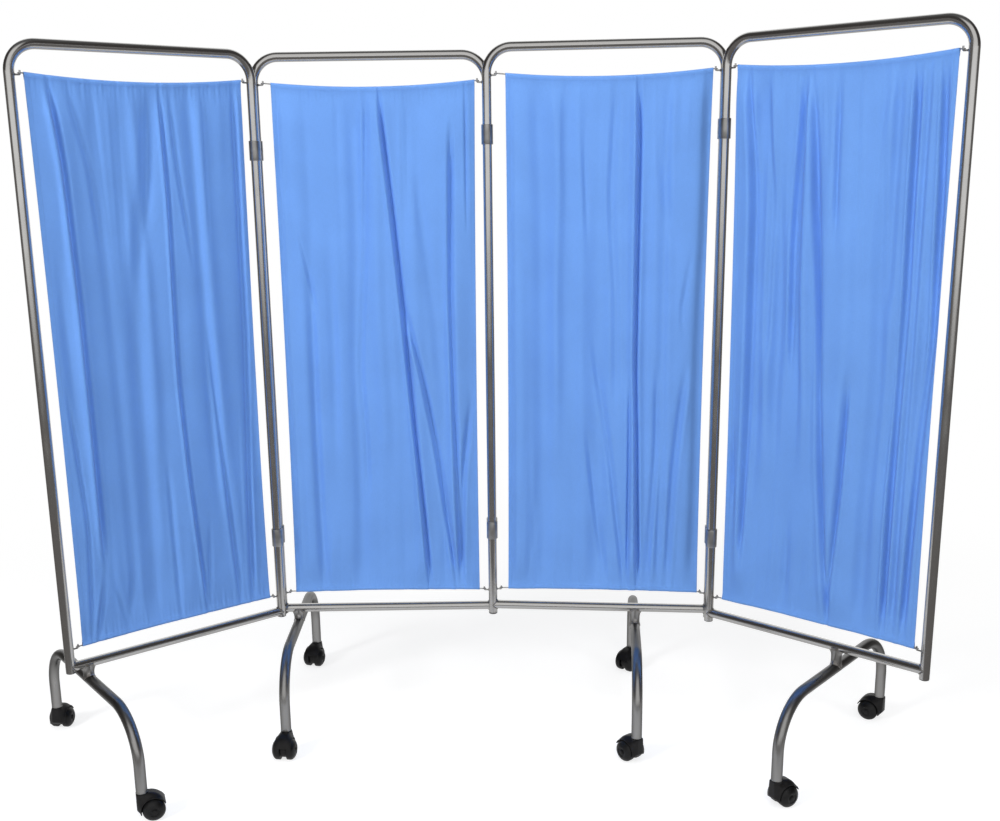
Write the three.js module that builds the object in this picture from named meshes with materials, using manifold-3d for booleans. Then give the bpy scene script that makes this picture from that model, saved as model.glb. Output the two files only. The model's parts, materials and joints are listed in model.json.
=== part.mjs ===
// Four-leaf ward privacy screen on casters, in millimetres, Z up, standing on the floor at z = 0.
// The origin is on the floor, in the middle of the screen's footprint. The front faces -Y.
// Each leaf is a bent tube frame on one arched leg, and holds a curtain gathered on two wires.
// A leaf is drawn with its left post at the origin and its right post on +X.

import * as THREE from 'three';
import { mergeVertices } from 'three/addons/utils/BufferGeometryUtils.js';
import Module from 'manifold-3d';

// Driving dimensions of a leaf's frame
const leafPitch = 545; // between the centres of a leaf's two posts
const frameHeight = 1362; // from the crossbar's centre up to the top bar's centre
const frameTube = 22;
const frameWall = 1.5;
const frameBend = 58; // to the tube's centre, at the two top corners
const crossbarHeight = 272; // centre above the floor, on the lowest leaf
// How far each leaf's left post and right post run below the crossbar's centre
const postTails = [
  [12, 12],
  [12, 20],
  [20, 20],
  [20, 20],
];
const leafRises = [3, 0, 13, 15]; // how much higher than the lowest one each frame is welded

// Driving dimensions of an arched leg
const legTube = 25;
const legWall = 1.5;
const legDrop = 36; // from the lowest crossbar down to the leg, centre to centre
const legSpan = 543; // between the stems of the front and back casters
const legTail = 60; // straight length above each caster, below the bend
const stubTube = 24; // the upright stub between the leg and the crossbar
const legPlaceShares = [0.074, 0.073, 0.665, 0.624]; // along each leaf, from its left post

// How the screen stands, seen from above
const leafAngles = [38.1, 0, -5.8, -41.6]; // degrees about Z, from each left post to its right post
const postPairPitch = 28; // between the centres of the two posts at a joint

// Hinge clips
const clipHeight = 45;
const clipWall = 2;
const clipWaist = 16;
const upperClipShares = [0.845, 0.867, 0.86]; // up the frame height, joint by joint
const lowerClipShares = [0.148, 0.157, 0.145];

// Curtain hooks, four on each frame
const hookWire = 4;
const hookReach = 11; // from the post's surface to the middle of the upturned tip
const hookTip = 9;
const topHookDrop = 62; // below the top bar's centre
const bottomHookRise = 42; // above the crossbar's centre

// Curtain wires
const wireDiameter = 3;
const topWireSag = 13;
const bottomWireSag = -3; // the cloth pulls the bottom wire up in the middle
const eyeDiameter = 10;
const eyeHole = 5.4;
const eyeThickness = 2.4;

// Curtains
const clothThickness = 1.6;
const clothSideGap = 1.5; // from the wire's eye to the cloth's side edge
const clothWaist = 4; // how far each side edge draws in at half height
const gatherDepth = 2.2; // half the depth of the small even gathers
const foldDepth = 7;
const hemShare = 0.35; // of the full depth, at the top and bottom edges
const gatherCounts = [9, 8, 8, 11];
// The main folds of each curtain, one row each: the place across the cloth at the top, then at the
// bottom, the width, and the depth as a share of the fold depth, forward above zero
const foldShares = [
  [
    [0.09, 0.14, 0.03, -1],
    [0.587, 0.643, 0.03, -0.8],
    [0.54, 0.384, 0.06, -0.5],
    [0.737, 0.83, 0.04, -0.5],
    [0.975, 0.92, 0.03, -0.8],
  ],
  [
    [0.526, 0.723, 0.035, -1],
    [0.553, 0.883, 0.035, -0.7],
    [0.457, 0.394, 0.05, -0.4],
    [0.872, 0.896, 0.03, -0.8],
    [0.95, 0.95, 0.03, 0.5],
  ],
  [
    [0.647, 0.675, 0.03, -1],
    [0.52, 0.594, 0.05, -0.5],
    [0.776, 0.744, 0.04, -0.5],
    [0.37, 0.498, 0.05, -0.35],
    [0.915, 0.85, 0.04, -0.5],
  ],
  [
    [0.052, 0.083, 0.03, -0.7],
    [0.348, 0.567, 0.03, -1],
    [0.833, 0.833, 0.025, -0.9],
    [0.9375, 0.927, 0.025, -0.9],
    [0.2, 0.18, 0.05, 0.6],
  ],
];

// Twin-wheel casters
const casterHeight = 66; // from the floor to the top of the stem's collar
const casterTrail = 22; // from the stem's centre to the axle, seen from above
const wheelDiameter = 50;
const wheelWidth = 20;
const wheelTread = 9; // width of the part that rolls, before the outer face slopes in
const wheelHub = 24; // diameter of the flat middle of the wheel's outer face
const axleDiameter = 6;
const axleHead = 11;
const axleHeadHeight = 1.5;
const hoodWeb = 14; // thickness of the middle of the hood, between the two wheels
const hoodWebDisc = 38;
const hoodWall = 2.4;
const hoodCover = 13; // how far the hood reaches over each wheel
const hoodCrown = 20; // width of the hood's top
const hoodNeck = 26;
const hoodRearAngle = 25; // where the hood ends behind the wheels, above level
const hoodFrontAngle = 195;
const hoodBulgeShare = 0.55; // how far past the axle the hood's back stays full
const stemPin = 10;
const stemCollar = 1.7;
const pinInHood = 16;
const casterTurns = [
  // degrees about Z of each trail, front caster then back caster of each leaf
  [20, 85],
  [-95, -105],
  [128, -130],
  [28, 142],
];

// Clearances
const seatGap = 0.3; // between pieces that touch
const runGap = 1.2; // between a wheel and the hood round it
const overrun = 2; // how far a cutting body passes the face that it cuts

// Fineness of the round shapes
const tubeSides = 12;
const boreSides = 8;
const smallSides = 8;
const thinSides = 6;
const wheelSides = 14;
const bendSteps = 4;
const wireSteps = 4;
const curveSteps = 6;
const clothColumns = 38;
const clothRows = 4;

// What follows from the sizes above
const frameRadius = frameTube / 2;
const legRadius = legTube / 2;
const wireRadius = wireDiameter / 2;
const hookRadius = hookWire / 2;
const legHeight = crossbarHeight - legDrop;
const legFoot = casterHeight + seatGap;
const legBend = legHeight - casterHeight - legTail; // to the tube's centre
const stemSeat = legTail - overrun; // length of the stem's upper part, in the leg tube
const halfPitch = leafPitch / 2;
const eyeFromPost = frameRadius + hookReach;
const eyeLift = (hookWire + eyeThickness) / 2 + seatGap; // the eye rests on the hook's shank
const cornerRadius = (flatRadius, sides) => flatRadius / Math.cos(Math.PI / sides);

const steel = (color, roughness) =>
  new THREE.MeshStandardMaterial({ color, metalness: 1, roughness });
const soft = (color, roughness) =>
  new THREE.MeshStandardMaterial({ color, metalness: 0, roughness });

// Joining and cutting closed meshes
const wasm = await Module();
wasm.setup();

function solidOf(geometry) {
  const bare = geometry.clone();
  bare.deleteAttribute('normal');
  bare.deleteAttribute('uv');
  const merged = mergeVertices(bare);
  return new wasm.Manifold(
    new wasm.Mesh({
      numProp: 3,
      vertProperties: new Float32Array(merged.attributes.position.array),
      triVerts: new Uint32Array(merged.index.array),
    }),
  );
}

function geometryOf(solid) {
  const mesh = solid.getMesh();
  const geometry = new THREE.BufferGeometry();
  geometry.setAttribute('position', new THREE.BufferAttribute(mesh.vertProperties, 3));
  geometry.setIndex(new THREE.BufferAttribute(mesh.triVerts, 1));
  const flat = geometry.toNonIndexed();
  flat.computeVertexNormals();
  return flat;
}

// A route through stations that each hold a point and the direction there,
// so that a swept tube has rings only where it needs them
class StationRoute extends THREE.Curve {
  constructor(stations) {
    super();
    this.stations = stations;
  }

  stationAt(u) {
    return this.stations[Math.round(u * (this.stations.length - 1))];
  }

  getPointAt(u) {
    return this.stationAt(u).point.clone();
  }

  getTangentAt(u) {
    return this.stationAt(u).direction.clone();
  }
}

// Corners of a round section drawn with flats, with the corners at the radius
function roundCorners(radius, sides, centreY = 0) {
  const corners = [];
  for (let k = 0; k < sides; k++) {
    const angle = (2 * Math.PI * k) / sides;
    corners.push(new THREE.Vector2(radius * Math.cos(angle), centreY + radius * Math.sin(angle)));
  }
  return corners;
}

function sweep(stations, radius, sides) {
  const extrudePath = new StationRoute(stations);
  const steps = stations.length - 1;
  const section = new THREE.Shape(roundCorners(radius, sides));
  return new THREE.ExtrudeGeometry(section, { steps, extrudePath });
}

// A straight round bar between two points
function bar(from, to, radius, sides) {
  const start = new THREE.Vector3(...from);
  const end = new THREE.Vector3(...to);
  const direction = end.clone().sub(start).normalize();
  const stations = [
    { point: start, direction },
    { point: end, direction },
  ];
  return solidOf(sweep(stations, radius, sides));
}

// A flat outline, drawn in X and Z and given a width in Y, half of it on each side
function slab(outline, width) {
  const depth = { depth: width, bevelEnabled: false, curveSegments: curveSteps };
  const geometry = new THREE.ExtrudeGeometry(outline, depth);
  geometry.translate(0, 0, -width / 2);
  return solidOf(geometry.rotateX(Math.PI / 2));
}

// Stations of a tube bent to an upside-down U in the XZ plane, centred on X = 0, with the heights
// of its left foot and its right foot
function archStations(span, [leftFoot, rightFoot], crown, bend) {
  const half = span / 2;
  const up = new THREE.Vector3(0, 0, 1);
  const stations = [{ point: new THREE.Vector3(-half, 0, leftFoot), direction: up }];
  for (const side of [-1, 1]) {
    for (let k = 0; k <= bendSteps; k++) {
      const turned = ((side < 0 ? k : bendSteps - k) / bendSteps) * (Math.PI / 2);
      const x = side * (half - bend + bend * Math.cos(turned));
      const z = crown - bend + bend * Math.sin(turned);
      const direction = new THREE.Vector3(Math.sin(turned), 0, -side * Math.cos(turned));
      stations.push({ point: new THREE.Vector3(x, 0, z), direction });
    }
  }
  stations.push({ point: new THREE.Vector3(half, 0, rightFoot), direction: up.clone().negate() });
  return stations;
}

// Frame: the bent tube, its crossbar and its four curtain hooks, welded to one piece.
// The bores of the tube and the crossbar meet, and are open at the posts' lower ends.
function cupHook(side, height) {
  const rootX = side * (halfPitch - frameRadius + frameWall / 2);
  const tipX = side * (halfPitch - eyeFromPost);
  const shank = bar([rootX, 0, height], [tipX - side * hookRadius, 0, height], hookRadius, thinSides);
  return shank.add(bar([tipX, 0, height], [tipX, 0, height + hookTip], hookRadius, thinSides));
}

function frameGeometry(rise, tails) {
  const crossbar = crossbarHeight + rise;
  const crown = crossbar + frameHeight;
  const feet = tails.map((tail) => crossbar - tail);
  const boreFeet = feet.map((foot) => foot - overrun);
  const boreRadius = cornerRadius(frameRadius - frameWall, boreSides);
  const tube = archStations(leafPitch, feet, crown, frameBend);
  const bore = archStations(leafPitch, boreFeet, crown, frameBend);
  const ends = [
    [-halfPitch, 0, crossbar],
    [halfPitch, 0, crossbar],
  ];
  let body = solidOf(sweep(tube, frameRadius, tubeSides));
  body = body.add(bar(...ends, frameRadius, tubeSides));
  body = body.subtract(solidOf(sweep(bore, boreRadius, boreSides)));
  body = body.subtract(bar(...ends, boreRadius, boreSides));
  for (const side of [-1, 1]) {
    body = body.add(cupHook(side, crown - topHookDrop));
    body = body.add(cupHook(side, crossbar + bottomHookRise));
  }
  return geometryOf(body).translate(halfPitch, 0, 0);
}

// Leg: the arched tube that crosses under the leaf, with its stub, which is coped to the crossbar
function legGeometry(rise) {
  const crossbar = crossbarHeight + rise;
  const boreRadius = cornerRadius(legRadius - legWall, boreSides);
  const tube = archStations(legSpan, [legFoot, legFoot], legHeight, legBend);
  const bore = archStations(legSpan, [legFoot - overrun, legFoot - overrun], legHeight, legBend);
  const across = (stations, radius, sides) =>
    solidOf(sweep(stations, radius, sides).rotateZ(Math.PI / 2));
  const cope = bar(
    [-stubTube, 0, crossbar],
    [stubTube, 0, crossbar],
    frameRadius + seatGap,
    tubeSides,
  );
  return geometryOf(
    bar([0, 0, legHeight], [0, 0, crossbar], stubTube / 2, tubeSides)
      .subtract(cope)
      .add(across(tube, legRadius, tubeSides))
      .subtract(across(bore, boreRadius, boreSides)),
  );
}

// Curtain wires: a thin rod with an eye at each end, which drops over the hook's upturned tip
const eyeX = halfPitch - eyeFromPost;
const rodEnd = eyeX - (eyeDiameter + eyeHole) / 4;
const wireDip = (x, sag) => sag * (1 - (x / rodEnd) ** 2);

function wireGeometry(sag) {
  const stations = [];
  for (let k = 0; k <= wireSteps; k++) {
    const x = rodEnd * ((2 * k) / wireSteps - 1);
    const slope = (2 * sag * x) / rodEnd ** 2;
    stations.push({
      point: new THREE.Vector3(x, 0, -wireDip(x, sag)),
      direction: new THREE.Vector3(1, 0, slope).normalize(),
    });
  }
  let body = solidOf(sweep(stations, wireRadius, thinSides));
  const holeRadius = cornerRadius(eyeHole / 2, smallSides);
  for (const side of [-1, 1]) {
    const x = side * eyeX;
    const half = eyeThickness / 2;
    body = body.add(bar([x, 0, -half], [x, 0, half], eyeDiameter / 2, smallSides));
    body = body.subtract(
      bar([x, 0, -half - overrun], [x, 0, half + overrun], holeRadius, smallSides),
    );
  }
  return geometryOf(body).translate(halfPitch, 0, 0);
}

// Curtain: a sheet with its main folds, hung from the top wire down to the bottom wire
function clothDepth(across, down, folds, gathers) {
  let depth = gatherDepth * Math.cos(2 * Math.PI * gathers * across);
  for (const [top, bottom, width, strength] of folds) {
    const place = top + (bottom - top) * down;
    depth += strength * foldDepth * Math.exp(-(((across - place) / width) ** 2));
  }
  return depth * (hemShare + (1 - hemShare) * Math.sqrt(Math.sin(Math.PI * down)));
}

function curtainGeometry(rise, folds, gathers) {
  const crossbar = crossbarHeight + rise;
  const topWire = crossbar + frameHeight - topHookDrop + eyeLift;
  const bottomWire = crossbar + bottomHookRise + eyeLift;
  const halfWidth = eyeX - eyeDiameter / 2 - clothSideGap;
  const points = [];
  for (const face of [-1, 1]) {
    for (let j = 0; j <= clothRows; j++) {
      const down = j / clothRows;
      for (let k = 0; k <= clothColumns; k++) {
        const across = k / clothColumns;
        const x = (halfWidth - 4 * clothWaist * down * (1 - down)) * (2 * across - 1);
        const top = topWire - wireDip(x, topWireSag) - wireRadius - seatGap;
        const bottom = bottomWire - wireDip(x, bottomWireSag) + wireRadius + seatGap;
        // Minus, because the front of a leaf faces -Y
        const y = (face * clothThickness) / 2 - clothDepth(across, down, folds, gathers);
        points.push(x + halfPitch, y, top + (bottom - top) * down);
      }
    }
  }
  const back = (clothRows + 1) * (clothColumns + 1);
  const at = (j, k) => j * (clothColumns + 1) + k;
  const index = [];
  const quad = (a, b, c, d) => index.push(a, b, c, a, c, d);
  for (let j = 0; j < clothRows; j++) {
    for (let k = 0; k < clothColumns; k++) {
      quad(at(j, k), at(j + 1, k), at(j + 1, k + 1), at(j, k + 1));
      quad(back + at(j, k), back + at(j, k + 1), back + at(j + 1, k + 1), back + at(j + 1, k));
    }
    const last = clothColumns;
    quad(at(j, 0), back + at(j, 0), back + at(j + 1, 0), at(j + 1, 0));
    quad(at(j, last), at(j + 1, last), back + at(j + 1, last), back + at(j, last));
  }
  for (let k = 0; k < clothColumns; k++) {
    const last = clothRows;
    quad(at(0, k), at(0, k + 1), back + at(0, k + 1), back + at(0, k));
    quad(at(last, k), back + at(last, k), back + at(last, k + 1), at(last, k + 1));
  }
  const geometry = new THREE.BufferGeometry();
  geometry.setAttribute('position', new THREE.Float32BufferAttribute(points, 3));
  geometry.setIndex(index);
  geometry.computeVertexNormals();
  return geometry;
}

// Hinge clip: a collar round the post that carries it, at the origin, and one round the other post,
// which turns in it, on -Y
function clipGeometry() {
  const bore = cornerRadius(frameRadius + seatGap, tubeSides);
  const outer = bore + clipWall;
  const waist = Math.acos(clipWaist / 2 / outer);
  const outline = new THREE.Shape();
  outline.absarc(0, 0, outer, -waist, Math.PI + waist, false);
  outline.absarc(0, -postPairPitch, outer, Math.PI - waist, 2 * Math.PI + waist, false);
  outline.closePath();
  outline.holes.push(new THREE.Path(roundCorners(bore, tubeSides)));
  outline.holes.push(new THREE.Path(roundCorners(bore, tubeSides, -postPairPitch)));
  const depth = { depth: clipHeight, bevelEnabled: false, curveSegments: curveSteps };
  return new THREE.ExtrudeGeometry(outline, depth).translate(0, 0, -clipHeight / 2);
}

// Casters stand on the floor with the stem at the origin, and trail towards +X
const wheelRadius = wheelDiameter / 2;
const wheelRim = cornerRadius(wheelRadius, wheelSides); // the wheel stands on a flat
const wheelInner = hoodWeb / 2 + runGap;
const hoodTop = casterHeight - stemCollar - seatGap;

// A body of revolution about Z, from corners given as [radius, height]
function turned(corners, sides) {
  const profile = corners.map(([radius, height]) => new THREE.Vector2(radius, height));
  return new THREE.LatheGeometry(profile, sides).rotateX(Math.PI / 2);
}

// Stem: the pin that the hood swivels on, a collar, and the plug that is driven into the leg tube
function stemGeometry() {
  const pin = stemPin / 2;
  const plug = legRadius - legWall - seatGap;
  const collarFoot = hoodTop + seatGap;
  const corners = [
    [0, hoodTop - pinInHood],
    [pin, hoodTop - pinInHood],
    [pin, collarFoot],
    [legRadius, collarFoot],
    [legRadius, casterHeight],
    [plug, casterHeight],
    [plug, casterHeight + stemSeat],
    [0, casterHeight + stemSeat],
  ];
  return turned(corners, boreSides);
}

// Wheel: its axle hole is round the origin's Y axis until it is set beside the web
function wheelGeometry(side) {
  const hole = cornerRadius(axleDiameter / 2 + seatGap, wheelSides);
  const corners = [
    [hole, 0],
    [wheelRim, 0],
    [wheelRim, wheelTread],
    [wheelHub / 2, wheelWidth],
    [hole, wheelWidth],
    [hole, 0],
  ];
  const geometry = turned(corners, wheelSides).rotateZ(Math.PI / wheelSides);
  geometry.rotateX((-side * Math.PI) / 2);
  geometry.translate(casterTrail, side * wheelInner, wheelRadius);
  return geometryOf(solidOf(geometry));
}

// Hood: one moulding with the neck for the stem, the web between the wheels, the cover over them
// and the axle that is pressed into the web
function hoodGeometry() {
  const inside = wheelRim + runGap;
  const outside = inside + hoodWall;
  const coverWidth = hoodWeb + 2 * hoodCover;
  const rear = THREE.MathUtils.degToRad(hoodRearAngle);
  const front = THREE.MathUtils.degToRad(hoodFrontAngle);
  const neck = hoodNeck / 2;
  const onAxle = (radius, angle) => [
    casterTrail + radius * Math.cos(angle),
    wheelRadius + radius * Math.sin(angle),
  ];

  const sideView = new THREE.Shape();
  sideView.moveTo(...onAxle(0, 0));
  sideView.lineTo(...onAxle(outside, rear));
  sideView.quadraticCurveTo(casterTrail + hoodBulgeShare * outside, hoodTop, neck, hoodTop);
  sideView.lineTo(-neck, hoodTop);
  sideView.lineTo(-neck, wheelRadius);
  sideView.lineTo(...onAxle(outside, front));
  sideView.closePath();

  const frontView = new THREE.Shape();
  frontView.moveTo(-coverWidth / 2, 0);
  frontView.lineTo(coverWidth / 2, 0);
  frontView.lineTo(coverWidth / 2, wheelDiameter);
  frontView.lineTo(hoodCrown / 2, hoodTop);
  frontView.lineTo(-hoodCrown / 2, hoodTop);
  frontView.lineTo(-coverWidth / 2, wheelDiameter);
  frontView.closePath();
  const frontBlock = new THREE.ExtrudeGeometry(frontView, {
    depth: 4 * outside,
    bevelEnabled: false,
  });
  frontBlock.rotateX(Math.PI / 2).rotateZ(Math.PI / 2).translate(-2 * outside, 0, 0);

  const axleY = (from, to, radius, sides) =>
    bar([casterTrail, from, wheelRadius], [casterTrail, to, wheelRadius], radius, sides);
  const headFoot = wheelInner + wheelWidth + seatGap;
  let body = slab(sideView, coverWidth).intersect(solidOf(frontBlock));
  for (const side of [-1, 1]) {
    body = body.subtract(
      axleY((side * hoodWeb) / 2, side * (coverWidth + overrun), inside, 2 * tubeSides),
    );
  }
  body = body.add(axleY(-hoodWeb / 2, hoodWeb / 2, hoodWebDisc / 2, wheelSides));
  body = body.add(axleY(-headFoot, headFoot, axleDiameter / 2, smallSides));
  for (const side of [-1, 1]) {
    body = body.add(
      axleY(side * headFoot, side * (headFoot + axleHeadHeight), axleHead / 2, smallSides),
    );
  }
  const boreRadius = cornerRadius(stemPin / 2 + seatGap, boreSides);
  const boreFoot = hoodTop - pinInHood - seatGap;
  body = body.subtract(bar([0, 0, boreFoot], [0, 0, hoodTop + overrun], boreRadius, boreSides));
  return geometryOf(body);
}

// Setting the pieces in their places
const frameSteel = steel(0xc9cac9, 0.22);
const group = new THREE.Group();

function put(parent, name, geometry, material) {
  const mesh = new THREE.Mesh(geometry, material.clone());
  mesh.name = name;
  parent.add(mesh);
  return mesh;
}

// Plan places of the posts: the second leaf lies along X, and each joint's front post is
// straight in front of the other one
const headings = leafAngles.map((angle) => THREE.MathUtils.degToRad(angle));
const along = headings.map((a) => new THREE.Vector2(Math.cos(a), Math.sin(a)));
const ahead = headings.map((a) => new THREE.Vector2(Math.sin(a), -Math.cos(a)));
const leftPosts = [];
const rightPosts = [];
const stepFrom = (post, direction, length) => post.clone().addScaledVector(direction, length);
leftPosts[1] = new THREE.Vector2(0, 0);
rightPosts[1] = stepFrom(leftPosts[1], along[1], leafPitch);
rightPosts[0] = stepFrom(leftPosts[1], ahead[1], postPairPitch);
leftPosts[0] = stepFrom(rightPosts[0], along[0], -leafPitch);
leftPosts[2] = stepFrom(rightPosts[1], ahead[1], postPairPitch);
rightPosts[2] = stepFrom(leftPosts[2], along[2], leafPitch);
leftPosts[3] = stepFrom(rightPosts[2], ahead[2], postPairPitch);

leafRises.forEach((rise, k) => {
  const leaf = new THREE.Group();
  leaf.position.set(leftPosts[k].x, leftPosts[k].y, 0);
  leaf.rotation.z = headings[k];
  group.add(leaf);
  const panel = `panel_${k + 1}`;
  put(leaf, `${panel}_frame`, frameGeometry(rise, postTails[k]), frameSteel);
  const leg = put(leaf, `${panel}_leg`, legGeometry(rise), frameSteel);
  leg.position.x = legPlaceShares[k] * leafPitch;
  const curtain = curtainGeometry(rise, foldShares[k], gatherCounts[k]);
  put(leaf, `${panel}_curtain`, curtain, soft(0x5f93e6, 0.85));
  const crossbar = crossbarHeight + rise;
  const topWire = put(leaf, `${panel}_top_wire`, wireGeometry(topWireSag), steel(0xb8b8b8, 0.35));
  topWire.position.z = crossbar + frameHeight - topHookDrop + eyeLift;
  const bottomWire = put(
    leaf,
    `${panel}_bottom_wire`,
    wireGeometry(bottomWireSag),
    steel(0xb8b8b8, 0.35),
  );
  bottomWire.position.z = crossbar + bottomHookRise + eyeLift;

  ['front', 'back'].forEach((end, which) => {
    const caster = new THREE.Group();
    const across = which === 0 ? -legSpan / 2 : legSpan / 2;
    caster.position.set(legPlaceShares[k] * leafPitch, across, 0);
    caster.rotation.z = THREE.MathUtils.degToRad(casterTurns[k][which]) - headings[k];
    leaf.add(caster);
    const name = `${panel}_${end}_caster`;
    put(caster, `${name}_stem`, stemGeometry(), steel(0x8c8c8c, 0.4));
    put(caster, `${name}_hood`, hoodGeometry(), soft(0x1b1b1b, 0.5));
    put(caster, `${name}_left_wheel`, wheelGeometry(1), soft(0x161616, 0.45));
    put(caster, `${name}_right_wheel`, wheelGeometry(-1), soft(0x161616, 0.45));
  });
});

// Each joint's clips: the post that carries them, the post that turns in them,
// and the higher of the two frames' rises, which sets their height
const jointPosts = [
  [leftPosts[1], rightPosts[0]],
  [leftPosts[2], rightPosts[1]],
  [rightPosts[2], leftPosts[3]],
];
jointPosts.forEach(([carrier, turning], k) => {
  const toOther = turning.clone().sub(carrier);
  const crossbar = crossbarHeight + Math.min(leafRises[k], leafRises[k + 1]);
  const shares = { upper: upperClipShares[k], lower: lowerClipShares[k] };
  for (const [place, share] of Object.entries(shares)) {
    const name = `joint_${k + 1}_${place}_clip`;
    const clip = put(group, name, clipGeometry(), steel(0xa9abad, 0.4));
    clip.position.set(carrier.x, carrier.y, crossbar + share * frameHeight);
    clip.rotation.z = toOther.angle() + Math.PI / 2;
  }
});

// The origin goes under the middle of the whole screen
const middle = new THREE.Box3().setFromObject(group).getCenter(new THREE.Vector3());
for (const child of group.children) {
  child.position.x -= middle.x;
  child.position.y -= middle.y;
}

export default group;
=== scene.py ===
import math

import bmesh
import bpy
import numpy as np
from mathutils import Matrix, Vector
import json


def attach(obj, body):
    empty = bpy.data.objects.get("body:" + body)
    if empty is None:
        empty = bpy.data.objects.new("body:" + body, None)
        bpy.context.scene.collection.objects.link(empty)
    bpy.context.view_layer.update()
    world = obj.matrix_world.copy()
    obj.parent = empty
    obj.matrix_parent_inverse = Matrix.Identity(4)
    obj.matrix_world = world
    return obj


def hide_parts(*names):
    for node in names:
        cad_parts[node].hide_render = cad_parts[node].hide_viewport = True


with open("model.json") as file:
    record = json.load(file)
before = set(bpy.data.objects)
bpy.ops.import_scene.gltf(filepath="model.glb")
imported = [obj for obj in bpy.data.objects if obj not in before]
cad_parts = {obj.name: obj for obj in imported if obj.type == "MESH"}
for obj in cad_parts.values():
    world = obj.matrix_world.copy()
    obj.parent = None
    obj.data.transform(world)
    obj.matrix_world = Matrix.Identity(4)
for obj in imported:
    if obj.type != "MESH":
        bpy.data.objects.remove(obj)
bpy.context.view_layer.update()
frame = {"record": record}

# ---- Camera ----
# It stands in front of the screen, a little above the middle, and looks slightly down, so the posts
# lean together downwards. The picture was cropped, so the lens axis isn't at its middle.
picture_width = 1000
focal_pixels = 1166.9
axis_shift_pixels = (-14.4, 38.0)
camera_place = Vector((0.0519, -2.7087, 1.3754))
camera_yaw, camera_pitch, camera_roll = -0.00114, 0.23553, -0.0139

camera_data = bpy.data.cameras.new("photo_camera")
camera_data.sensor_width = 36
camera_data.lens = focal_pixels * camera_data.sensor_width / picture_width
camera_data.shift_x = -axis_shift_pixels[0] / picture_width
camera_data.shift_y = axis_shift_pixels[1] / picture_width
camera = bpy.data.objects.new("photo_camera", camera_data)
bpy.context.scene.collection.objects.link(camera)
ahead = Vector((
    -math.sin(camera_yaw) * math.cos(camera_pitch),
    math.cos(camera_yaw) * math.cos(camera_pitch),
    -math.sin(camera_pitch),
))
level_right = Vector((math.cos(camera_yaw), math.sin(camera_yaw), 0))
level_up = level_right.cross(ahead)
camera_right = level_right * math.cos(camera_roll) + level_up * math.sin(camera_roll)
camera_up = level_up * math.cos(camera_roll) - level_right * math.sin(camera_roll)
turn = Matrix((camera_right, camera_up, -ahead)).transposed()
camera.matrix_world = Matrix.Translation(camera_place) @ turn.to_4x4()
bpy.context.scene.camera = camera

# ---- Studio ----
# White paper under and behind the screen, with a large soft lamp in front on the left, and weaker ones
# on the right, near the middle and overhead. The bright tubes mirror the paper and a dim room in front.
scene = bpy.context.scene
scene.view_settings.view_transform = "Standard"


def node_adder(tree):
    """A way to add a node to a tree: its settings, then its inputs, each a value or another's output."""

    def add(kind, inputs, **settings):
        node = tree.nodes.new(kind)
        for name, value in settings.items():
            setattr(node, name, value)
        for name, value in inputs.items():
            if isinstance(value, bpy.types.NodeSocket):
                tree.links.new(value, node.inputs[name])
            elif value is not None:
                node.inputs[name].default_value = value
        return node

    tree.nodes.clear()
    return add


def new_material(name):
    material = bpy.data.materials.new(name)
    material.use_nodes = True
    return material, node_adder(material.node_tree)


def math_node(add, operation, first, second=0.5, third=None):
    return add("ShaderNodeMath", {0: first, 1: second, 2: third}, operation=operation).outputs[0]


def remapped(add, value, start=0, end=1, low=0, high=1, kind="LINEAR"):
    """A value that runs from start to end, spread from low to high."""
    span = {"Value": value, "From Min": start, "From Max": end, "To Min": low, "To Max": high}
    return add("ShaderNodeMapRange", span, interpolation_type=kind).outputs[0]


def noise(add, vector, scale, detail=2):
    return add("ShaderNodeTexNoise", {"Vector": vector, "Scale": scale, "Detail": detail}).outputs["Fac"]


def ramp(add, share, *stops):
    """Colours along a share, from stops that are each a place and a colour."""
    node = add("ShaderNodeValToRGB", {"Fac": share})
    elements = node.color_ramp.elements
    elements[0].position, elements[0].color = stops[0]
    elements[1].position, elements[1].color = stops[-1]
    for place, color in stops[1:-1]:
        elements.new(place).color = color
    return node.outputs["Color"]


def mixed_color(add, share, first, second):
    mix = add("ShaderNodeMix", {"Factor": share, "A": first, "B": second}, data_type="RGBA")
    return mix.outputs["Result"]


def ray_kinds(add):
    """1 where the eye sees the surface itself or through glass, 1 in a mirror, and 1 in either."""
    path = add("ShaderNodeLightPath", {}).outputs
    direct = math_node(add, "MAXIMUM", path["Is Camera Ray"], path["Is Transmission Ray"])
    return direct, path["Is Glossy Ray"], math_node(add, "MAXIMUM", direct, path["Is Glossy Ray"])


room_light = 0.34
room_dark = (0.06, 0.055, 0.053, 1)
room_floor = (0.16, 0.152, 0.147, 1)
room_near = (0.5, 0.49, 0.48, 1)
room_wall = (0.94, 0.935, 0.93, 1)
room_front = (0.8, 0.79, 0.78, 1)
room_above = (0.12, 0.12, 0.12, 1)
white = (1, 1, 1, 1)
# Shares round the room, from straight in front of the screen to straight behind it
dim_until, white_from = 0.80, 0.93
# Each belt of the room from the floor up: its colour in front, its dim colour at the sides, and where
# the first ends and the second begins
room_belts = [
    (room_near, room_floor, 0.04, 0.12),
    (room_wall, room_floor, 0.14, 0.25),
    (room_front, room_dark, 0.06, 0.14),
]

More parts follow.
